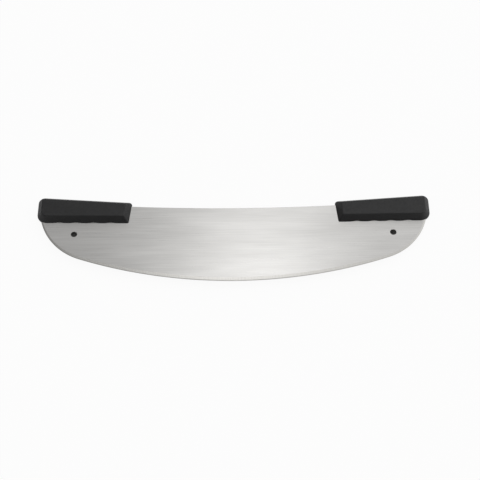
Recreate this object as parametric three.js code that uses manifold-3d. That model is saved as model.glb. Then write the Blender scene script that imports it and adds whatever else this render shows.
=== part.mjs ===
// A pizza rocker knife: one crescent steel plate with a polypropylene handle moulded over each
// upper corner. Sizes are in millimetres, +Z is up, and the knife lies flat on its handles: X runs
// along it, Y from the cutting edge to the spine. The origin is the bottom centre of its box.

import * as THREE from 'three';
import { mergeVertices } from 'three/addons/utils/BufferGeometryUtils.js';
import Module from 'manifold-3d';

// Whole knife
const overallLength = 508;              // outside of one handle to outside of the other

// Blade plate
const bladeDepth = 105;                 // cutting edge to spine, in the middle
const bladeThickness = 2;
const edgeRadius = 615;                 // the long rocking curve
const endRadius = 81;                   // the tighter curve that carries the edge up to a handle
const endCurveInset = 2.6;              // widest point of that curve, inside the handle's outer end
const spineRadius = 2700;               // the spine dips slightly between the handles
const grindWidth = 4.5;                 // ground bevel on each side of the cutting edge
const edgeLand = 0.4;                   // thickness left at the cutting edge

// Hanging holes through the blade
const hangingHoleDiameter = 8;
const hangingHoleFromEnd = 49.4;        // from the handle's outer end to the hole's axis
const hangingHoleBelowHandle = 16.2;    // from the handle's lower edge to the hole's axis

// Tang, the part of the plate inside each handle
const tangEndCover = 5;                 // plastic beyond the end of the tang
const tangTopCover = 5.7;               // plastic above the tang
const tangCornerRadius = 8;
const lockHoleCount = 3;                // the plastic runs through these and cannot pull off
const lockHoleDiameter = 9;
const lockHoleMargin = 24;              // from either end of the tang to the first hole's axis
const mouldingGap = 0.3;                // shrinkage gap between steel and plastic

// Handles, measured on the parting plane, where their outline is widest
const handleTopLength = 122.3;
const handleBottomLength = 118.9;
const handleInnerHeight = 30.8;
const handleOuterHeight = 38;
const handleThickness = 20;
const partingLand = 1.6;                // upright band along the parting line
const sideBevel = 5.8;                  // how far the sloping sides lean in
const faceEdgeBreak = 1;                // small second slope round each flat face
const innerLowerRadius = 2.5;
const outerLowerRadius = 13;
const outerUpperRadius = 8;
const innerUpperRadius = 4;
const faceCornerRadius = 1.5;           // smallest corner left on the flat faces

// Finger grooves along each handle's lower edge
const grooveCount = 4;
const grooveDepth = 1.4;
const ridgeRelief = 0.25;               // the wave runs out this far below the straight edge
const grooveInnerMargin = 12.3;         // from the inner corner to the first groove
const grooveOuterMargin = 17.8;         // from the last groove to the outer corner

// Fineness of the curves
const longArcSteps = 14;
const cornerSteps = 3;
const holeSides = 32;
const stepsPerGroove = 12;

const cutMargin = 20;                   // how far a cutting shape runs past what it cuts

const wasm = await Module();
wasm.setup();

const steel = new THREE.MeshStandardMaterial({ color: 0xc6c5c1, roughness: 0.36, metalness: 1 });
const polypropylene = new THREE.MeshStandardMaterial({ color: 0x2c2d2f, roughness: 0.6, metalness: 0 });

// Joins and cuts

function toSolid(geometry) {
  const bare = geometry.clone();
  bare.deleteAttribute('normal');
  bare.deleteAttribute('uv');
  const merged = mergeVertices(bare);
  const vertProperties = new Float32Array(merged.getAttribute('position').array);
  const triVerts = new Uint32Array(merged.index.array);
  return new wasm.Manifold(new wasm.Mesh({ numProp: 3, vertProperties, triVerts }));
}

function toGeometry(solid) {
  const { vertProperties, triVerts } = solid.getMesh();
  const geometry = new THREE.BufferGeometry();
  geometry.setAttribute('position', new THREE.BufferAttribute(vertProperties, 3));
  geometry.setIndex(new THREE.BufferAttribute(triVerts, 1));
  geometry.computeVertexNormals();
  return geometry;
}

// A closed skin over outlines stacked in Z, all anticlockwise and with as many points
function loft(sections) {
  const count = sections[0].points.length;
  const positions = sections.flatMap(({ points, z }) => points.flatMap((p) => [p.x, p.y, z]));
  const index = [];
  for (let section = 0; section + 1 < sections.length; section += 1) {
    for (let i = 0; i < count; i += 1) {
      const a = section * count + i;
      const b = section * count + ((i + 1) % count);
      index.push(a, b, b + count, a, b + count, a + count);
    }
  }
  const last = sections.length - 1;
  for (const [a, b, c] of THREE.ShapeUtils.triangulateShape(sections[0].points, [])) {
    index.push(c, b, a);
  }
  for (const [a, b, c] of THREE.ShapeUtils.triangulateShape(sections[last].points, [])) {
    index.push(last * count + a, last * count + b, last * count + c);
  }
  const geometry = new THREE.BufferGeometry();
  geometry.setAttribute('position', new THREE.Float32BufferAttribute(positions, 3));
  geometry.setIndex(index);
  return toSolid(geometry);
}

function prism(shape, thickness) {
  const settings = { depth: thickness, curveSegments: longArcSteps, bevelEnabled: false };
  const geometry = new THREE.ExtrudeGeometry(shape, settings);
  return toSolid(geometry.translate(0, 0, -thickness / 2));
}

function upright(x, y, diameter) {
  const height = bladeThickness + 2 * cutMargin;
  const geometry = new THREE.CylinderGeometry(diameter / 2, diameter / 2, height, holeSides);
  return toSolid(geometry.rotateX(Math.PI / 2).translate(x, y, 0));
}

// Blade outline: Y is 0 at the lowest point of the cutting edge, and Z is 0 in mid plate

const halfLength = overallLength / 2;
const tangEnd = halfLength - tangEndCover;
const endCentreX = halfLength - endCurveInset - endRadius;
const endCentreY = edgeRadius - Math.sqrt((edgeRadius - endRadius) ** 2 - endCentreX ** 2);
const rockingAngle = Math.asin(endCentreX / (edgeRadius - endRadius));
const spineCentreY = bladeDepth + spineRadius;
const down = 1.5 * Math.PI;

function spineHeight(x) {
  return spineCentreY - Math.sqrt(spineRadius ** 2 - x ** 2);
}

const aboveBlade = Math.max(spineHeight(tangEnd), endCentreY) + cutMargin;
const belowBlade = -cutMargin;

// The rocking curve and its two end curves, with straight sides up past the spine
function edgeShape(grow) {
  const shape = new THREE.Shape();
  const radius = endRadius + grow;
  shape.absarc(-endCentreX, endCentreY, radius, Math.PI, down - rockingAngle);
  shape.absarc(0, edgeRadius, edgeRadius + grow, down - rockingAngle, down + rockingAngle);
  shape.absarc(endCentreX, endCentreY, radius, down + rockingAngle, 2 * Math.PI);
  shape.lineTo(endCentreX + radius, aboveBlade);
  shape.lineTo(-endCentreX - radius, aboveBlade);
  return shape;
}

// The spine and the ends of the tangs, with straight sides down past the cutting edge
function spineShape(grow) {
  const shape = new THREE.Shape();
  const cornerX = tangEnd - tangCornerRadius;
  const cornerY = spineCentreY - Math.sqrt((spineRadius + tangCornerRadius) ** 2 - cornerX ** 2);
  const lean = Math.asin(cornerX / (spineRadius + tangCornerRadius));
  const radius = tangCornerRadius + grow;
  shape.absarc(cornerX, cornerY, radius, 0, Math.PI / 2 + lean);
  shape.absarc(0, spineCentreY, spineRadius - grow, down + lean, down - lean, true);
  shape.absarc(-cornerX, cornerY, radius, Math.PI / 2 - lean, Math.PI);
  shape.lineTo(-tangEnd - grow, belowBlade);
  shape.lineTo(tangEnd + grow, belowBlade);
  return shape;
}

// Handle outline: four straight sides, moved in by an inset, with a rounded corner between each two

const handleInnerX = halfLength - handleTopLength;
const topSlope = (spineHeight(tangEnd) - spineHeight(handleInnerX)) / (tangEnd - handleInnerX);
const innerTop = new THREE.Vector2(handleInnerX, spineHeight(handleInnerX) + tangTopCover);
const outerTop = new THREE.Vector2(halfLength, innerTop.y + topSlope * handleTopLength);
const innerBottom = new THREE.Vector2(halfLength - handleBottomLength, innerTop.y - handleInnerHeight);
const outerBottom = new THREE.Vector2(halfLength, outerTop.y - handleOuterHeight);
const handleCorners = [
  { at: innerBottom, radius: innerLowerRadius },
  { at: outerBottom, radius: outerLowerRadius },
  { at: outerTop, radius: outerUpperRadius },
  { at: innerTop, radius: innerUpperRadius },
];

function handleBottom(x) {
  const share = (x - innerBottom.x) / handleBottomLength;
  return THREE.MathUtils.lerp(innerBottom.y, outerBottom.y, share);
}

function handleShape(inset) {
  const shape = new THREE.Shape();
  handleCorners.forEach(({ at, radius }, i) => {
    const before = handleCorners.at(i - 1).at;
    const after = handleCorners[(i + 1) % handleCorners.length].at;
    const arriving = at.clone().sub(before).normalize();
    const leaving = after.clone().sub(at).normalize();
    const turn = arriving.angleTo(leaving);
    const rounding = Math.max(radius - inset, faceCornerRadius);
    const inward = leaving.clone().sub(arriving).normalize();
    const centre = at.clone().addScaledVector(inward, (inset + rounding) / Math.cos(turn / 2));
    const start = arriving.angle() - Math.PI / 2;
    shape.absarc(centre.x, centre.y, rounding, start, start + turn);
  });
  return shape;
}

// A wave that cuts the finger grooves into the lower edge
function grooveShape() {
  const start = innerBottom.x + grooveInnerMargin;
  const length = handleBottomLength - grooveInnerMargin - grooveOuterMargin;
  const steps = grooveCount * stepsPerGroove;
  const shape = new THREE.Shape();
  shape.moveTo(start, innerBottom.y - cutMargin);
  shape.lineTo(start + length, innerBottom.y - cutMargin);
  for (let i = steps; i >= 0; i -= 1) {
    const x = start + (length * i) / steps;
    const crest = 0.5 - 0.5 * Math.cos((2 * Math.PI * i) / stepsPerGroove);
    shape.lineTo(x, handleBottom(x) + (grooveDepth + ridgeRelief) * crest - ridgeRelief);
  }
  return shape;
}

// Lock holes stand midway between the handle's lower edge and the spine
function lockHolePlaces() {
  const first = handleInnerX + lockHoleMargin;
  const pitch = (tangEnd - lockHoleMargin - first) / (lockHoleCount - 1);
  return Array.from({ length: lockHoleCount }, (_, i) => {
    const x = first + pitch * i;
    return { x, y: (handleBottom(x) + spineHeight(x)) / 2 };
  });
}

// Pieces

function makeBlade() {
  const face = edgeShape(-grindWidth).getPoints(longArcSteps);
  const edge = edgeShape(0).getPoints(longArcSteps);
  const ground = loft([
    { points: face, z: -bladeThickness / 2 },
    { points: edge, z: -edgeLand / 2 },
    { points: edge, z: edgeLand / 2 },
    { points: face, z: bladeThickness / 2 },
  ]);
  let plate = ground.intersect(prism(spineShape(0), bladeThickness + 2 * cutMargin));
  const holeX = halfLength - hangingHoleFromEnd;
  const holeY = handleBottom(holeX) - hangingHoleBelowHandle;
  for (const side of [-1, 1]) {
    plate = plate.subtract(upright(side * holeX, holeY, hangingHoleDiameter));
    for (const { x, y } of lockHolePlaces()) {
      plate = plate.subtract(upright(side * x, y, lockHoleDiameter));
    }
  }
  return toGeometry(plate);
}

function makeHandle() {
  const face = handleThickness / 2;
  const profile = [
    { inset: sideBevel + faceEdgeBreak, z: face },
    { inset: sideBevel, z: face - faceEdgeBreak },
    { inset: 0, z: partingLand / 2 },
  ];
  const sections = [
    ...profile.map(({ inset, z }) => ({ inset, z: -z })),
    ...profile.toReversed(),
  ];
  const body = loft(sections.map(({ inset, z }) => {
    return { points: handleShape(inset).getPoints(cornerSteps), z };
  }));
  const pocketDepth = bladeThickness + 2 * mouldingGap;
  let pocket = prism(edgeShape(mouldingGap), pocketDepth);
  pocket = pocket.intersect(prism(spineShape(mouldingGap), pocketDepth + 2 * cutMargin));
  for (const { x, y } of lockHolePlaces()) {
    pocket = pocket.subtract(upright(x, y, lockHoleDiameter - 2 * mouldingGap));
  }
  const grooves = prism(grooveShape(), handleThickness + 2 * cutMargin);
  return toGeometry(body.subtract(grooves).subtract(pocket));
}

const knife = new THREE.Group();

const blade = new THREE.Mesh(makeBlade(), steel);
blade.name = 'blade';
knife.add(blade);

const handleGeometry = makeHandle();
for (const [name, side] of [['left_handle', -1], ['right_handle', 1]]) {
  const handle = new THREE.Mesh(handleGeometry, polypropylene);
  handle.name = name;
  handle.scale.x = side;
  knife.add(handle);
}

const box = new THREE.Box3().setFromObject(knife);
const centre = box.getCenter(new THREE.Vector3());
knife.position.set(-centre.x, -centre.y, -box.min.z);

export default knife;
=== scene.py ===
import math
import bmesh
import bpy
from mathutils import Matrix, Quaternion, Vector


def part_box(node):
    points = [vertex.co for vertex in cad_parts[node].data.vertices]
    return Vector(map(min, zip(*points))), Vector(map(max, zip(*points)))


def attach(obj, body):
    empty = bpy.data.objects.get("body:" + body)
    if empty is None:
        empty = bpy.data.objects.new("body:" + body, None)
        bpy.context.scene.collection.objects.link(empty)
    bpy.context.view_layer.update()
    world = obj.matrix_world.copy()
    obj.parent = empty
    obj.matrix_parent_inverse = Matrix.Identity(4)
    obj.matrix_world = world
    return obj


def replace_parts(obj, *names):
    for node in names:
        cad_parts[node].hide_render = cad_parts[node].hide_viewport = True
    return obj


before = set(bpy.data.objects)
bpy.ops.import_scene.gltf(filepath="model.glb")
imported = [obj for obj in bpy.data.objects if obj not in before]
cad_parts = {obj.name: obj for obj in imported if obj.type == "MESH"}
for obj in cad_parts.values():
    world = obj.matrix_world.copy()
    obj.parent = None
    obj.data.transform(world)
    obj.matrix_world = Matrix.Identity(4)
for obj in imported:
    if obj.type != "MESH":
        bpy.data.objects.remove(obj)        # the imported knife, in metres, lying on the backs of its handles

scene = bpy.context.scene
mm = 0.001
down = 1.5 * math.pi                          # angle that points at the cutting edge
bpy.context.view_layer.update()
bladeLow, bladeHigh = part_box("blade")
handleLow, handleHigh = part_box("right_handle")
edgeY = bladeLow.y                            # lowest point of the cutting edge
plateZ = (bladeLow.z + bladeHigh.z) / 2       # middle of the plate, and parting plane of the handles


def linear(hexColour):                        # sRGB hex to the linear values that Blender's sockets take
    channels = [int(hexColour[i:i + 2], 16) / 255 for i in (1, 3, 5)]
    return [c / 12.92 if c <= 0.04045 else ((c + 0.055) / 1.055) ** 2.4 for c in channels] + [1.0]


def addNode(tree, kind, inputs=None, **settings):       # sockets by name, or by number where names repeat
    node = tree.nodes.new(kind)
    for name, value in settings.items():
        setattr(node, name, value)
    for socket, value in (inputs or {}).items():
        if isinstance(value, bpy.types.NodeSocket):
            tree.links.new(value, node.inputs[socket])
        else:
            node.inputs[socket].default_value = value
    return node


def newMaterial(name):
    material = bpy.data.materials.new(name)
    material.use_nodes = True
    material.node_tree.nodes.clear()
    return material, material.node_tree


def newObject(name, mesh):
    piece = bpy.data.objects.new(name, mesh)
    scene.collection.objects.link(piece)
    return piece


def settle(piece, name):                      # bakes the modifiers into a plain mesh
    graph = bpy.context.evaluated_depsgraph_get()
    mesh = bpy.data.meshes.new_from_object(piece.evaluated_get(graph))
    old = piece.data
    piece.modifiers.clear()
    piece.data = mesh
    mesh.name = name
    bpy.data.meshes.remove(old)


def arc(centre, radius, start, end, steps):
    turns = [start + (end - start) * i / steps for i in range(steps + 1)]
    return [(Vector((centre[0] + radius * math.cos(t), centre[1] + radius * math.sin(t))),
             Vector((math.cos(t), math.sin(t)))) for t in turns]


# Materials

noiseLow, noiseHigh = 0.3, 0.7                # Blender's noise mostly lies between these values

steelLook = {
    "dark": "#b8b7b5", "light": "#d0cfcd",    # the two tones that the grinding streaks run between
    "roughness": 0.32, "streakRoughness": 0.05,
    "anisotropy": 0.76,                       # the glare spreads across the grinding lines
    "streak": 1.1 * mm, "streakLength": 70 * mm,        # really about 0.1 mm, drawn coarser to show
    "streakDetail": 3.0, "streakBreak": 0.6,            # finer lines within a streak, and their strength
    "cloud": 13 * mm, "cloudLength": 90 * mm,           # slow unevenness of the belt's pressure
    "cloudShare": 0.4, "cloudDetail": 2.0,
    "scratch": 0.8 * mm, "scratchLength": 45 * mm,      # stray hairlines from wiping, askew to the grain
    "scratchAngle": 7.0, "scratchRoughness": 0.05, "scratchDetail": 1.0,
    "scratchFrom": 0.66, "scratchFull": 0.78,           # only the peaks of their noise count
    "scratchDepth": 0.5, "lineHeight": 0.02 * mm, "bump": 0.15,
}


def satinStainless():                         # belt-ground stainless sheet: fine long streaks, soft glare
    look = steelLook
    material, tree = newMaterial("satinStainlessSteel")
    place = addNode(tree, "ShaderNodeTexCoord").outputs["Object"]
    along = addNode(tree, "ShaderNodeMapping", {"Vector": place, "Scale": (
        1 / look["streakLength"], 1 / look["streak"], 1 / look["streak"])}).outputs[0]
    streaks = addNode(tree, "ShaderNodeTexNoise", {
        "Vector": along, "Scale": 1.0, "Detail": look["streakDetail"],
        "Roughness": look["streakBreak"]}).outputs[0]
    wide = addNode(tree, "ShaderNodeMapping", {"Vector": place, "Scale": (
        1 / look["cloudLength"], 1 / look["cloud"], 1 / look["cloud"])}).outputs[0]
    clouds = addNode(tree, "ShaderNodeTexNoise", {
        "Vector": wide, "Scale": 1.0, "Detail": look["cloudDetail"]}).outputs[0]
    askew = addNode(tree, "ShaderNodeMapping", {
        "Vector": place, "Rotation": (0, 0, math.radians(look["scratchAngle"])),
        "Scale": (1 / look["scratchLength"], 1 / look["scratch"], 1 / look["scratch"])}).outputs[0]
    stray = addNode(tree, "ShaderNodeTexNoise", {
        "Vector": askew, "Scale": 1.0, "Detail": look["scratchDetail"]}).outputs[0]
    scratches = addNode(tree, "ShaderNodeMapRange", {
        0: stray, 1: look["scratchFrom"], 2: look["scratchFull"]}).outputs[0]
    slow = addNode(tree, "ShaderNodeMath", {0: clouds, 1: look["cloudShare"]},
                   operation="MULTIPLY").outputs[0]
    mixed = addNode(tree, "ShaderNodeMath", {0: streaks, 1: 1 - look["cloudShare"], 2: slow},
                    operation="MULTIPLY_ADD").outputs[0]
    tone = addNode(tree, "ShaderNodeMapRange", {0: mixed, 1: noiseLow, 2: noiseHigh}).outputs[0]
    colour = addNode(tree, "ShaderNodeMix", {
        "Factor": tone, 6: linear(look["dark"]), 7: linear(look["light"])}, data_type="RGBA").outputs[2]
    satin = addNode(tree, "ShaderNodeMapRange", {
        0: streaks, 1: noiseLow, 2: noiseHigh, 3: look["roughness"] - look["streakRoughness"],
        4: look["roughness"] + look["streakRoughness"]}).outputs[0]
    rough = addNode(tree, "ShaderNodeMath", {0: scratches, 1: look["scratchRoughness"], 2: satin},
                    operation="MULTIPLY_ADD").outputs[0]
    height = addNode(tree, "ShaderNodeMath", {0: scratches, 1: -look["scratchDepth"], 2: streaks},
                     operation="MULTIPLY_ADD").outputs[0]
    bump = addNode(tree, "ShaderNodeBump", {
        "Height": height, "Strength": look["bump"], "Distance": look["lineHeight"]}).outputs[0]
    tangent = addNode(tree, "ShaderNodeTangent", direction_type="UV_MAP", uv_map="grain").outputs[0]
    shader = addNode(tree, "ShaderNodeBsdfPrincipled", {
        "Base Color": colour, "Metallic": 1.0, "Roughness": rough, "Normal": bump,
        "Anisotropic": look["anisotropy"], "Tangent": tangent})
    addNode(tree, "ShaderNodeOutputMaterial", {0: shader.outputs[0]})
    return material


edgeLook = {
    "dark": "#a8a6a2", "light": "#c8c7c4",
    "roughness": 0.34,
    "line": 0.9 * mm,                         # real grit lines are finer, drawn coarser so that they show
    "lineLength": 45 * mm, "lineDetail": 2.0,
    "lineHeight": 0.02 * mm, "bump": 0.08,
}


def groundStainless():                        # the same steel, wheel-ground: a shade darker, lined across
    look = edgeLook
    material, tree = newMaterial("groundStainlessEdge")
    run = addNode(tree, "ShaderNodeUVMap", uv_map="edgeRun").outputs[0]
    across = addNode(tree, "ShaderNodeMapping", {"Vector": run, "Scale": (
        1 / look["line"], 1 / look["lineLength"], 1.0)}).outputs[0]
    lines = addNode(tree, "ShaderNodeTexNoise", {
        "Vector": across, "Scale": 1.0, "Detail": look["lineDetail"]}).outputs[0]
    tone = addNode(tree, "ShaderNodeMapRange", {0: lines, 1: noiseLow, 2: noiseHigh}).outputs[0]
    colour = addNode(tree, "ShaderNodeMix", {
        "Factor": tone, 6: linear(look["dark"]), 7: linear(look["light"])}, data_type="RGBA").outputs[2]
    bump = addNode(tree, "ShaderNodeBump", {
        "Height": lines, "Strength": look["bump"], "Distance": look["lineHeight"]}).outputs[0]
    shader = addNode(tree, "ShaderNodeBsdfPrincipled", {
        "Base Color": colour, "Metallic": 1.0, "Roughness": look["roughness"], "Normal": bump})
    addNode(tree, "ShaderNodeOutputMaterial", {0: shader.outputs[0]})
    return material


plasticLook = {
    "dark": "#111112", "light": "#161617",
    "roughness": 0.60, "spread": 0.12,
    "specular": 0.55, "ior": 1.49,
    "grain": 1.4 * mm, "grainDetail": 2.0,    # eroded mould texture, really about 0.2 mm, coarser to show
    "grainHeight": 0.08 * mm, "bump": 0.9,
    "flow": 14 * mm, "flowDetail": 3.0, "swirl": 0.6,   # slow marbling where the melt flowed
}


def mouldedPolypropylene():                   # black plastic from an eroded mould: an even, dull sheen
    look = plasticLook
    material, tree = newMaterial("mouldedPolypropylene")
    place = addNode(tree, "ShaderNodeTexCoord").outputs["Object"]
    grain = addNode(tree, "ShaderNodeTexNoise", {
        "Vector": place, "Scale": 1 / look["grain"], "Detail": look["grainDetail"]}).outputs[0]
    flow = addNode(tree, "ShaderNodeTexNoise", {
        "Vector": place, "Scale": 1 / look["flow"], "Detail": look["flowDetail"],
        "Distortion": look["swirl"]}).outputs[0]
    tone = addNode(tree, "ShaderNodeMapRange", {0: flow, 1: noiseLow, 2: noiseHigh}).outputs[0]
    colour = addNode(tree, "ShaderNodeMix", {
        "Factor": tone, 6: linear(look["dark"]), 7: linear(look["light"])}, data_type="RGBA").outputs[2]
    rough = addNode(tree, "ShaderNodeMapRange", {
        0: grain, 1: noiseLow, 2: noiseHigh, 3: look["roughness"] - look["spread"],
        4: look["roughness"] + look["spread"]}).outputs[0]
    bump = addNode(tree, "ShaderNodeBump", {
        "Height": grain, "Strength": look["bump"], "Distance": look["grainHeight"]}).outputs[0]
    shader = addNode(tree, "ShaderNodeBsdfPrincipled", {
        "Base Color": colour, "Metallic": 0.0, "Roughness": rough, "Normal": bump,
        "IOR": look["ior"], "Specular IOR Level": look["specular"]})
    addNode(tree, "ShaderNodeOutputMaterial", {0: shader.outputs[0]})
    return material


steel = satinStainless()
groundEdge = groundStainless()
plastic = mouldedPolypropylene()
print("materials:", steel.name, groundEdge.name, plastic.name)

# Blade

bladeSizes = {
    "depth": 105 * mm,                        # cutting edge to spine, in the middle
    "edgeRadius": 615 * mm,                   # long rocking curve
    "endRadius": 81 * mm,                     # tighter curve up to a handle
    "endCurveInset": 2.6 * mm,                # its widest point, inside the handle's outer end
    "spineRadius": 2700 * mm,
    "grindWidth": 4.5 * mm, "edgeLand": 0.2 * mm,
    "honeWidth": 0.9 * mm, "honeThickness": 0.9 * mm,   # the steeper bevel along the very edge
    "fullTo": 100 * mm,                       # the grind has its full width up to here from the middle
    "endShare": 0.7, "runOut": 0.4,           # what is left of it at the end curve, and at the handle
    "easing": 0.22 * mm,                      # deburred corners of the spine
    "tangCorner": 8 * mm,
    "hangingHole": 8 * mm, "hangingFromEnd": 49.4 * mm, "hangingBelowHandle": 16.2 * mm,
    "hangingChamfer": 0.15 * mm,
    "lockHole": 9 * mm, "lockMargin": 24 * mm, "lockCount": 3, "lockChamfer": 0.1 * mm,
}
bladeSteps = {"edge": 90, "end": 44, "tangCorner": 10, "spine": 60, "hangingHole": 56, "lockHole": 28}
sheetSlot, groundSlot = 0, 1                  # the blade's two material slots
handleSizes = {
    "topCover": 5.7 * mm,                     # plastic above the tang
    "topLength": 122.3 * mm, "bottomLength": 118.9 * mm,
    "innerHeight": 30.8 * mm, "outerHeight": 38 * mm,
    "bevel": 6.5 * mm,                        # how far the sides lean in at the faces
    "land": 1.6 * mm,                         # upright band along the parting line
    "landRound": 2 * mm, "faceRound": 1.8 * mm,
    "corners": (2.5 * mm, 13 * mm, 8 * mm, 4 * mm),     # lower inner, lower outer, upper outer and inner
    "faceCorner": 1.5 * mm,
    "flash": 0.12 * mm, "flashWidth": 0.3 * mm,         # thin raised line where the mould halves met
    "pocketGap": 0.06 * mm,                   # shrinkage gap round the tang
    "sharpAngle": 40.0,
}
handleSteps = {
    "straight": (84, 14, 44, 12),             # after each corner; the grooved lower edge is finest
    "corner": 12, "landRound": 5, "slope": 12, "faceRound": 6,
    "crowding": 1.6,                          # draws the rows of the slope towards the parting line
}
halfLength = handleHigh.x
tangEnd = bladeHigh.x
plateHalf = (bladeHigh.z - bladeLow.z) / 2
spineCentre = edgeY + bladeSizes["depth"] + bladeSizes["spineRadius"]


def spineHeight(x):
    return spineCentre - math.sqrt(bladeSizes["spineRadius"] ** 2 - x ** 2)


handleInnerX = halfLength - handleSizes["topLength"]
topSlope = (spineHeight(tangEnd) - spineHeight(handleInnerX)) / (tangEnd - handleInnerX)
innerTop = Vector((handleInnerX, spineHeight(handleInnerX) + handleSizes["topCover"]))
outerTop = Vector((halfLength, innerTop.y + topSlope * handleSizes["topLength"]))
innerBottom = Vector((halfLength - handleSizes["bottomLength"], innerTop.y - handleSizes["innerHeight"]))
outerBottom = Vector((halfLength, outerTop.y - handleSizes["outerHeight"]))
bottomSlope = (outerBottom.y - innerBottom.y) / handleSizes["bottomLength"]


def handleBottom(x):
    return innerBottom.y + bottomSlope * (x - innerBottom.x)


def lockPlaces():
    sizes = bladeSizes
    first = handleInnerX + sizes["lockMargin"]
    pitch = (tangEnd - sizes["lockMargin"] - first) / (sizes["lockCount"] - 1)
    spots = [first + pitch * i for i in range(sizes["lockCount"])]
    return [(x, (handleBottom(x) + spineHeight(x)) / 2) for x in spots]


def bladeOutline():                           # points, outward directions and shares of the grind
    sizes, steps = bladeSizes, bladeSteps
    edgeR, endR, cornerR = sizes["edgeRadius"], sizes["endRadius"], sizes["tangCorner"]
    endX = halfLength - sizes["endCurveInset"] - endR             # centre of the end curve
    rock = math.asin(endX / (edgeR - endR))
    endY = edgeY + edgeR - (edgeR - endR) * math.cos(rock)
    bend = down + rock                        # where the rocking curve turns into the end curve
    meet = 2 * math.pi - math.asin((endY - handleBottom(tangEnd)) / endR)     # where that meets a handle
    stop = 2 * math.pi - math.acos((tangEnd - endX) / endR)
    cornerX = tangEnd - cornerR               # centre of the tang's rounded corner
    lean = math.asin(cornerX / (sizes["spineRadius"] + cornerR))
    cornerY = spineCentre - (sizes["spineRadius"] + cornerR) * math.cos(lean)
    right = []
    for p, n in arc((0, edgeY + edgeR), edgeR, down, bend, steps["edge"]):
        past = max(0.0, (p.x - sizes["fullTo"]) / (edgeR * math.sin(rock) - sizes["fullTo"]))
        right.append((p, n, 1 - (1 - sizes["endShare"]) * past))
    end = arc((endX, endY), endR, bend, stop, steps["end"])[1:]
    fade = sizes["endShare"] - sizes["runOut"]
    for i, (p, n) in enumerate(end, 1):
        turn = bend + (stop - bend) * i / len(end)
        if turn < meet:
            share = sizes["endShare"] - fade * (turn - bend) / (meet - bend)
        else:
            share = sizes["runOut"] * (stop - turn) / (stop - meet)
        right.append((p, n, share))
    tang = arc((cornerX, cornerY), cornerR, 0, math.pi / 2 + lean, steps["tangCorner"])
    right += [(p, n, 0.0) for p, n in tang]
    spine = arc((0, spineCentre), sizes["spineRadius"], down + lean, down, steps["spine"])[1:]
    right += [(p, -n, 0.0) for p, n in spine]
    left = [(Vector((-p.x, p.y)), Vector((-n.x, n.y)), share) for p, n, share in right[1:-1]]
    return right + left[::-1]


def plateProfile(share, grow):                # insets and heights from the front face to the back
    sizes = bladeSizes
    ease = sizes["easing"]
    middle = ease * (1 - math.sqrt(0.5))      # halfway round an eased corner
    ground = [(sizes["grindWidth"], plateHalf), (sizes["honeWidth"], sizes["honeThickness"] / 2),
              (0, sizes["edgeLand"] / 2)]
    square = [(ease, plateHalf), (middle, plateHalf - middle), (0, plateHalf - ease)]
    half = [(g[0] * share + s[0] * (1 - share) - grow, g[1] * share + s[1] * (1 - share) + grow)
            for g, s in zip(ground, square)]
    return half + [(inset, -z) for inset, z in half[::-1]]


def plateMesh(name, grow, holes):             # ground plate; grow makes it the pocket that fits round it
    outline = bladeOutline()
    profiles = [plateProfile(share, grow) for _, _, share in outline]
    count, bands = len(outline), len(profiles[0]) - 1
    bm = bmesh.new()
    runMap = bm.loops.layers.uv.new("edgeRun")
    grainMap = bm.loops.layers.uv.new("grain")
    runs = [0.0]                              # length along the outline
    for (a, _, _), (b, _, _) in zip(outline, outline[1:] + outline[:1]):
        runs.append(runs[-1] + (b - a).length)
    rings = []
    for k in range(bands + 1):
        spots = [point - outward * profile[k][0]
                 for (point, outward, _), profile in zip(outline, profiles)]
        rings.append([bm.verts.new((spot.x, spot.y, plateZ + profile[k][1]))
                      for spot, profile in zip(spots, profiles)])
    for k in range(bands):
        for i in range(count):
            j = (i + 1) % count
            face = bm.faces.new((rings[k + 1][i], rings[k + 1][j], rings[k][j], rings[k][i]))
            isGround = outline[i][2] + outline[j][2] > 0
            face.material_index = groundSlot if isGround else sheetSlot
            face.smooth = True
            if isGround and k > 0:            # crisp lines between the bevels
                bm.edges.get((rings[k][i], rings[k][j])).smooth = False
            ends = (runs[i], runs[i + 1], runs[i + 1], runs[i])
            for loop, run, level in zip(face.loops, ends, (k + 1, k + 1, k, k)):
                loop[runMap].uv = (run, level * mm)
    rims = [(rings[0], rings[-1])]
    for x, y, radius, chamfer, steps in holes:
        circle = [2 * math.pi * i / steps for i in range(steps)]
        levels = [(radius + chamfer, plateHalf + grow), (radius, plateHalf + grow - chamfer)]
        levels += [(r, -z) for r, z in levels[::-1]]
        wall = [[bm.verts.new((x + r * math.cos(t), y + r * math.sin(t), plateZ + z)) for t in circle]
                for r, z in levels]
        for upper, lower in zip(wall, wall[1:]):
            for i in range(steps):
                j = (i + 1) % steps
                face = bm.faces.new((upper[i], upper[j], lower[j], lower[i]))
                face.smooth = True
        rims.append((wall[0], wall[-1]))
    for side, up in ((0, 1), (1, -1)):        # the flat front and back
        normal = Vector((0, 0, up))
        edges = []
        for rim in rims:
            edges += [bm.edges.get((rim[side][i - 1], rim[side][i])) for i in range(len(rim[side]))]
        made = bmesh.ops.triangle_fill(bm, use_beauty=True, edges=edges, normal=normal)
        for face in (f for f in made["geom"] if isinstance(f, bmesh.types.BMFace)):
            face.material_index = sheetSlot
            if face.normal.dot(normal) < 0:
                face.normal_flip()
        for edge in edges:
            edge.smooth = False
    for face in bm.faces:
        for loop in face.loops:
            loop[grainMap].uv = (loop.vert.co.y, loop.vert.co.x)
    mesh = bpy.data.meshes.new(name)
    bm.to_mesh(mesh)
    bm.free()
    return mesh


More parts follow.
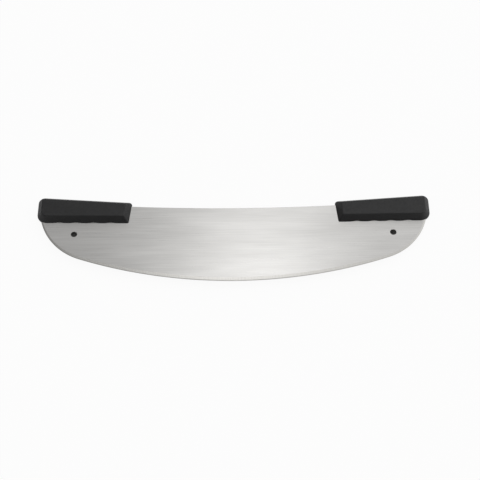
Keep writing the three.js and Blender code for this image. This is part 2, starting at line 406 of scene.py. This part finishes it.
def makeBlade():
    sizes, steps = bladeSizes, bladeSteps
    holeX = halfLength - sizes["hangingFromEnd"]
    holeY = handleBottom(holeX) - sizes["hangingBelowHandle"]
    hanging = (sizes["hangingHole"] / 2, sizes["hangingChamfer"], steps["hangingHole"])
    lock = (sizes["lockHole"] / 2, sizes["lockChamfer"], steps["lockHole"])
    holes = []
    for side in (-1, 1):
        holes.append((side * holeX, holeY, *hanging))
        holes += [(side * x, y, *lock) for x, y in lockPlaces()]
    blade = newObject("rockerBlade", plateMesh("rockerBlade", 0.0, holes))
    blade.data.materials.append(steel)
    blade.data.materials.append(groundEdge)
    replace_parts(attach(blade, "root"), "blade")
    return blade


blade = makeBlade()
print("blade:", len(blade.data.vertices), "points")

# Handles

grooveSizes = {
    "count": 4, "depth": 1.4 * mm,
    "relief": 0.25 * mm,                      # the wave runs out this far below the straight edge
    "soften": 0.5 * mm,                       # rounds the lip of each groove
    "innerMargin": 12.3 * mm, "outerMargin": 17.8 * mm,
}


def handleOutline(inset):                     # four sides moved in by the inset, with rounded corners
    sizes, steps = handleSizes, handleSteps
    corners = (innerBottom, outerBottom, outerTop, innerTop)
    bends = []
    for i, at in enumerate(corners):
        arriving = (at - corners[i - 1]).normalized()
        leaving = (corners[(i + 1) % 4] - at).normalized()
        turn = arriving.angle(leaving)
        rounding = max(sizes["corners"][i] - inset, sizes["faceCorner"])
        centre = at + (leaving - arriving).normalized() * ((inset + rounding) / math.cos(turn / 2))
        start = math.atan2(arriving.y, arriving.x) - math.pi / 2
        bends.append([p for p, _ in arc(centre, rounding, start, start + turn, steps["corner"])])
    points = []
    for i, bend in enumerate(bends):
        points += bend
        a, b = bend[-1], bends[(i + 1) % 4][0]
        parts = steps["straight"][i]
        points += [a.lerp(b, s / parts) for s in range(1, parts)]
    return points


def handleProfile():                          # insets and heights, from the parting line to a face
    sizes, steps = handleSizes, handleSteps
    top = (handleHigh.z - handleLow.z) / 2
    lean = math.atan2(sizes["bevel"], top - sizes["land"] / 2)
    profile = [(-sizes["flash"], 0.0), (0.0, sizes["flashWidth"] / 2)]
    tip = sizes["landRound"] * math.tan(lean / 2)
    for i in range(steps["landRound"] + 1):   # round over from the land to the sloping side
        t = lean * i / steps["landRound"]
        profile.append((sizes["landRound"] * (1 - math.cos(t)),
                        sizes["land"] / 2 - tip + sizes["landRound"] * math.sin(t)))
    lastInset, lastZ = profile[-1]
    rest = math.pi / 2 - lean
    tip = sizes["faceRound"] * math.tan(rest / 2)
    stopInset = sizes["bevel"] - tip * math.sin(lean)
    stopZ = top - tip * math.cos(lean)
    for i in range(1, steps["slope"] + 1):    # sloping side
        s = (i / steps["slope"]) ** steps["crowding"]
        profile.append((lastInset + (stopInset - lastInset) * s, lastZ + (stopZ - lastZ) * s))
    for i in range(1, steps["faceRound"] + 1):          # round over from the sloping side to the flat face
        t = lean + rest * i / steps["faceRound"]
        profile.append((sizes["bevel"] + tip - sizes["faceRound"] * math.cos(t),
                        top - sizes["faceRound"] * (1 - math.sin(t))))
    return profile


def handleMesh(name, side):
    half = handleProfile()
    levels = half[::-1] + [(inset, -z) for inset, z in half[1:]]
    bm = bmesh.new()
    rings = []
    for inset, z in levels:
        rings.append([bm.verts.new((side * p.x, p.y, plateZ + z)) for p in handleOutline(inset)])
    count = len(rings[0])
    for upper, lower in zip(rings, rings[1:]):
        for i in range(count):
            j = (i + 1) % count
            bm.faces.new((lower[i], lower[j], upper[j], upper[i]))
    bm.faces.new(rings[0])
    bm.faces.new(rings[-1][::-1])
    if side < 0:                              # the mirrored handle would be inside out
        bmesh.ops.reverse_faces(bm, faces=bm.faces[:])
    mesh = bpy.data.meshes.new(name)
    bm.to_mesh(mesh)
    bm.free()
    return mesh


def fingerGrooveTree():                       # presses a row of finger grooves into a handle's lower edge
    tree = bpy.data.node_groups.new("fingerGrooves", "GeometryNodeTree")
    tree.interface.new_socket("Geometry", in_out="INPUT", socket_type="NodeSocketGeometry")
    for name in ("Start", "Length", "Count", "Depth", "Relief", "Soften", "Edge Height", "Edge Slope"):
        tree.interface.new_socket(name, in_out="INPUT", socket_type="NodeSocketFloat")
    tree.interface.new_socket("Plastic", in_out="INPUT", socket_type="NodeSocketMaterial")
    tree.interface.new_socket("Geometry", in_out="OUTPUT", socket_type="NodeSocketGeometry")

    given = addNode(tree, "NodeGroupInput").outputs
    spot = addNode(tree, "GeometryNodeInputPosition").outputs[0]
    place = addNode(tree, "ShaderNodeSeparateXYZ", {0: spot}).outputs
    across = addNode(tree, "ShaderNodeMath", {0: place["X"]}, operation="ABSOLUTE").outputs[0]
    along = addNode(tree, "ShaderNodeMath", {0: across, 1: given["Start"]},
                    operation="SUBTRACT").outputs[0]
    share = addNode(tree, "ShaderNodeMath", {0: along, 1: given["Length"]},
                    operation="DIVIDE", use_clamp=True).outputs[0]
    turns = addNode(tree, "ShaderNodeMath", {0: share, 1: given["Count"]}, operation="MULTIPLY").outputs[0]
    angle = addNode(tree, "ShaderNodeMath", {0: turns, 1: 2 * math.pi}, operation="MULTIPLY").outputs[0]
    wave = addNode(tree, "ShaderNodeMath", {0: angle}, operation="COSINE").outputs[0]
    crest = addNode(tree, "ShaderNodeMath", {0: wave, 1: -0.5, 2: 0.5},       # 0 at a ridge, 1 in a groove
                    operation="MULTIPLY_ADD").outputs[0]
    swing = addNode(tree, "ShaderNodeMath", {0: given["Depth"], 1: given["Relief"]},
                    operation="ADD").outputs[0]
    rise = addNode(tree, "ShaderNodeMath", {0: swing, 1: crest}, operation="MULTIPLY").outputs[0]
    cut = addNode(tree, "ShaderNodeMath", {0: rise, 1: given["Relief"]}, operation="SUBTRACT").outputs[0]
    line = addNode(tree, "ShaderNodeMath", {0: along, 1: given["Edge Slope"], 2: given["Edge Height"]},
                   operation="MULTIPLY_ADD").outputs[0]
    inside = addNode(tree, "ShaderNodeMath", {0: place["Y"], 1: line}, operation="SUBTRACT").outputs[0]
    kept = addNode(tree, "ShaderNodeMath", {0: inside, 1: cut, 2: given["Soften"]},
                   operation="SMOOTH_MAX").outputs[0]
    lift = addNode(tree, "ShaderNodeMath", {0: kept, 1: inside}, operation="SUBTRACT").outputs[0]
    offset = addNode(tree, "ShaderNodeCombineXYZ", {"Y": lift}).outputs[0]
    pressed = addNode(tree, "GeometryNodeSetPosition", {
        "Geometry": given["Geometry"], "Offset": offset}).outputs[0]
    real = addNode(tree, "GeometryNodeRealizeInstances", {0: pressed}).outputs[0]
    done = addNode(tree, "GeometryNodeSetMaterial", {
        "Geometry": real, "Material": given["Plastic"]}).outputs[0]
    addNode(tree, "NodeGroupOutput", {0: done})
    return tree


def makeHandle(name, node, side, tree, pocket):
    grooves = grooveSizes
    handle = newObject(name, handleMesh(name, side))
    start = innerBottom.x + grooves["innerMargin"]
    values = {
        "Start": start,
        "Length": handleSizes["bottomLength"] - grooves["innerMargin"] - grooves["outerMargin"],
        "Count": float(grooves["count"]), "Depth": grooves["depth"], "Relief": grooves["relief"],
        "Soften": grooves["soften"], "Edge Height": handleBottom(start), "Edge Slope": bottomSlope,
        "Plastic": plastic,
    }
    press = handle.modifiers.new("fingerGrooves", "NODES")
    press.node_group = tree
    for item in tree.interface.items_tree:
        if item.in_out == "INPUT" and item.name in values:
            press[item.identifier] = values[item.name]
    settle(handle, name)
    cut = handle.modifiers.new("tangPocket", "BOOLEAN")
    cut.operation = "DIFFERENCE"
    cut.solver = "EXACT"
    cut.object = pocket
    settle(handle, name)
    handle.data.shade_smooth()
    handle.data.set_sharp_from_angle(angle=math.radians(handleSizes["sharpAngle"]))
    handle.data.materials.clear()
    handle.data.materials.append(plastic)
    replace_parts(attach(handle, "root"), node)
    return handle


def makePocket():                             # the blade a little larger; its lock holes leave the plugs
    gap = handleSizes["pocketGap"]
    plug = (bladeSizes["lockHole"] / 2 - gap, 0.0, bladeSteps["lockHole"])
    plugs = [(side * x, y, *plug) for side in (-1, 1) for x, y in lockPlaces()]
    mesh = plateMesh("tangPocket", gap, plugs)
    while mesh.uv_layers:                     # a handle has no use for the blade's maps
        mesh.uv_layers.remove(mesh.uv_layers[0])
    return newObject("tangPocket", mesh)


pocket = makePocket()
grooveTree = fingerGrooveTree()
handles = [makeHandle("leftHandleMoulding", "left_handle", -1, grooveTree, pocket),
           makeHandle("rightHandleMoulding", "right_handle", 1, grooveTree, pocket)]
bpy.data.objects.remove(pocket)
print("handles:", [len(handle.data.vertices) for handle in handles], "points")

# Floor, light and camera

stageLook = {
    "floorSize": 40.0, "floorColour": "#f4f4f3",
    "floorDrop": 0.3 * mm,                    # keeps the floor clear of the handles' backs
    "glow": 0.93,                             # share of plain white that the floor shows beside the knife
    "paintedShadeColour": "#7c7c7b",                 # painted shade: grey floor colour under the blade, standing in for the shadow in the narrow gap
    "shadeFrom": 7 * mm, "shadeTo": 22 * mm,  # the white fades into the painted shade between these insets
    "skyLean": (1.01, 0.38, 1.00),            # direction of the brightest sky
    "skyFrom": -0.04, "skyFocus": 1.85,       # cosine at which its glow begins, and how fast it gathers
    "skyLow": 0.24, "skyHigh": 1.22,          # world's strength away from it, and along it
    "hazeTop": 0.07, "hazeFull": 0.03,        # the pale floor runs into a pale haze up to these heights
    "haze": 0.975,                            # its strength, which meets the floor's white at the horizon
}


def makeFloor():                              # a sheet with a patch of painted shade under the blade
    look = stageLook
    reach = look["floorSize"] / 2
    outline = bladeOutline()
    rim = [(-reach, -reach), (reach, -reach), (reach, reach), (-reach, reach)]
    outer = [(p - n * look["shadeFrom"])[:] for p, n, _ in outline]
    inner = [(p - n * look["shadeTo"])[:] for p, n, _ in outline]
    bm = bmesh.new()
    loops = [[bm.verts.new((x, y, -look["floorDrop"])) for x, y in loop] for loop in (rim, outer, inner)]
    bands = [[bm.edges.new((loop[i - 1], loop[i])) for i in range(len(loop))] for loop in loops]
    for i in range(len(outline)):
        bm.faces.new((loops[1][i - 1], loops[1][i], loops[2][i], loops[2][i - 1]))
    up = Vector((0, 0, 1))
    bmesh.ops.triangle_fill(bm, use_beauty=True, edges=bands[0] + bands[1], normal=up)
    bmesh.ops.triangle_fill(bm, use_beauty=True, edges=bands[2], normal=up)
    bm.verts.index_update()
    # points under the blade, where the floor gets painted shade
    shaded = {v.index for v in loops[2]}
    mesh = bpy.data.meshes.new("floor")
    bm.to_mesh(mesh)
    bm.free()
    beside = mesh.attributes.new("beside", "FLOAT", "POINT")     # 1 beside the knife, 0 under its blade
    for v in mesh.vertices:
        beside.data[v.index].value = 0.0 if v.index in shaded else 1.0
    mesh.materials.append(paleFloor())
    newObject("floor", mesh)


def paleFloor():                              # white paper sweep: matt, with a faint shadow and painted shade under the blade
    look = stageLook
    material, tree = newMaterial("paleFloor")
    path = addNode(tree, "ShaderNodeLightPath").outputs
    seen = addNode(tree, "ShaderNodeMath", {0: path["Is Camera Ray"], 1: path["Is Glossy Ray"]},
                   operation="MAXIMUM").outputs[0]
    seen = addNode(tree, "ShaderNodeMath", {0: seen, 1: path["Is Transmission Ray"]},
                   operation="MAXIMUM").outputs[0]
    beside = addNode(tree, "ShaderNodeAttribute", attribute_name="beside").outputs["Fac"]
    white = addNode(tree, "ShaderNodeMath", {0: beside, 1: look["glow"]}, operation="MULTIPLY").outputs[0]
    share = addNode(tree, "ShaderNodeMath", {0: seen, 1: white}, operation="MULTIPLY").outputs[0]
    # painted shade: the floor's colour turns grey where beside falls to 0 under the blade
    colour = addNode(tree, "ShaderNodeMix", {
        "Factor": beside, 6: linear(look["paintedShadeColour"]), 7: linear(look["floorColour"])},
        data_type="RGBA").outputs[2]
    matt = addNode(tree, "ShaderNodeBsdfDiffuse", {"Color": colour}).outputs[0]
    bright = addNode(tree, "ShaderNodeEmission", {"Strength": 1.0}).outputs[0]
    mixed = addNode(tree, "ShaderNodeMixShader", {0: share, 1: matt, 2: bright}).outputs[0]
    addNode(tree, "ShaderNodeOutputMaterial", {0: mixed})
    return material


def makeSky():
    look = stageLook
    world = bpy.data.worlds.new("studio")
    world.use_nodes = True
    tree = world.node_tree
    tree.nodes.clear()
    way = addNode(tree, "ShaderNodeTexCoord").outputs["Generated"]
    along = addNode(tree, "ShaderNodeVectorMath", {0: way, 1: Vector(look["skyLean"]).normalized()},
                    operation="DOT_PRODUCT").outputs["Value"]
    share = addNode(tree, "ShaderNodeMapRange", {0: along, 1: look["skyFrom"], 2: 1.0}).outputs[0]
    glare = addNode(tree, "ShaderNodeMath", {0: share, 1: look["skyFocus"]}, operation="POWER").outputs[0]
    strength = addNode(tree, "ShaderNodeMapRange", {
        0: glare, 3: look["skyLow"], 4: look["skyHigh"]}).outputs[0]
    height = addNode(tree, "ShaderNodeSeparateXYZ", {0: way}).outputs["Z"]
    haze = addNode(tree, "ShaderNodeMapRange", {
        0: height, 1: look["hazeTop"], 2: look["hazeFull"], 3: 0.0, 4: look["haze"]}).outputs[0]
    level = addNode(tree, "ShaderNodeMath", {0: strength, 1: haze}, operation="MAXIMUM").outputs[0]
    sky = addNode(tree, "ShaderNodeBackground", {"Color": (1, 1, 1, 1), "Strength": level}).outputs[0]
    addNode(tree, "ShaderNodeOutputWorld", {0: sky})
    scene.world = world


lamps = {                                     # in metres, with the turn in a lamp's own plane in degrees
    "topSoftbox": {"place": (-0.01, 0.22, 1.60), "size": (0.42, 1.14), "turn": -20.0, "watts": 2.82},
    "sideSoftbox": {"place": (1.52, 1.10, 1.33), "size": (2.4, 1.5), "turn": 0.0, "watts": 3.2},
}


def makeLamps():
    for name, lamp in lamps.items():
        light = bpy.data.lights.new(name, "AREA")
        light.shape = "RECTANGLE"
        light.size, light.size_y = lamp["size"]
        light.energy = lamp["watts"]
        holder = bpy.data.objects.new(name, light)
        scene.collection.objects.link(holder)
        holder.location = lamp["place"]
        holder.rotation_mode = "QUATERNION"
        turn = Quaternion((0, 0, 1), math.radians(lamp["turn"]))
        holder.rotation_quaternion = (-Vector(lamp["place"])).to_track_quat("-Z", "Y") @ turn


shot = {
    "aim": (8.1 * mm, -2.77 * mm, plateZ),    # point in the middle of the picture
    "distance": 1277.8 * mm, "lens": 75.0,
    "elevation": 61.3, "roll": 0.42,          # degrees above the floor, and of tilt in the picture
}


def makeCamera():
    rise = math.radians(shot["elevation"])
    back = Vector((0, -math.cos(rise), math.sin(rise)))
    data = bpy.data.cameras.new("camera")
    data.lens = shot["lens"]
    camera = bpy.data.objects.new("camera", data)
    scene.collection.objects.link(camera)
    camera.rotation_mode = "QUATERNION"
    camera.location = Vector(shot["aim"]) + back * shot["distance"]
    turn = Matrix.Rotation(-math.radians(shot["roll"]), 3, back)
    camera.rotation_quaternion = (turn @ (-back).to_track_quat("-Z", "Y").to_matrix()).to_quaternion()
    scene.camera = camera


makeFloor()
makeSky()
makeLamps()
makeCamera()
scene.view_settings.view_transform = "Standard"
print("stage: floor, sky,", len(lamps), "lamps and camera")
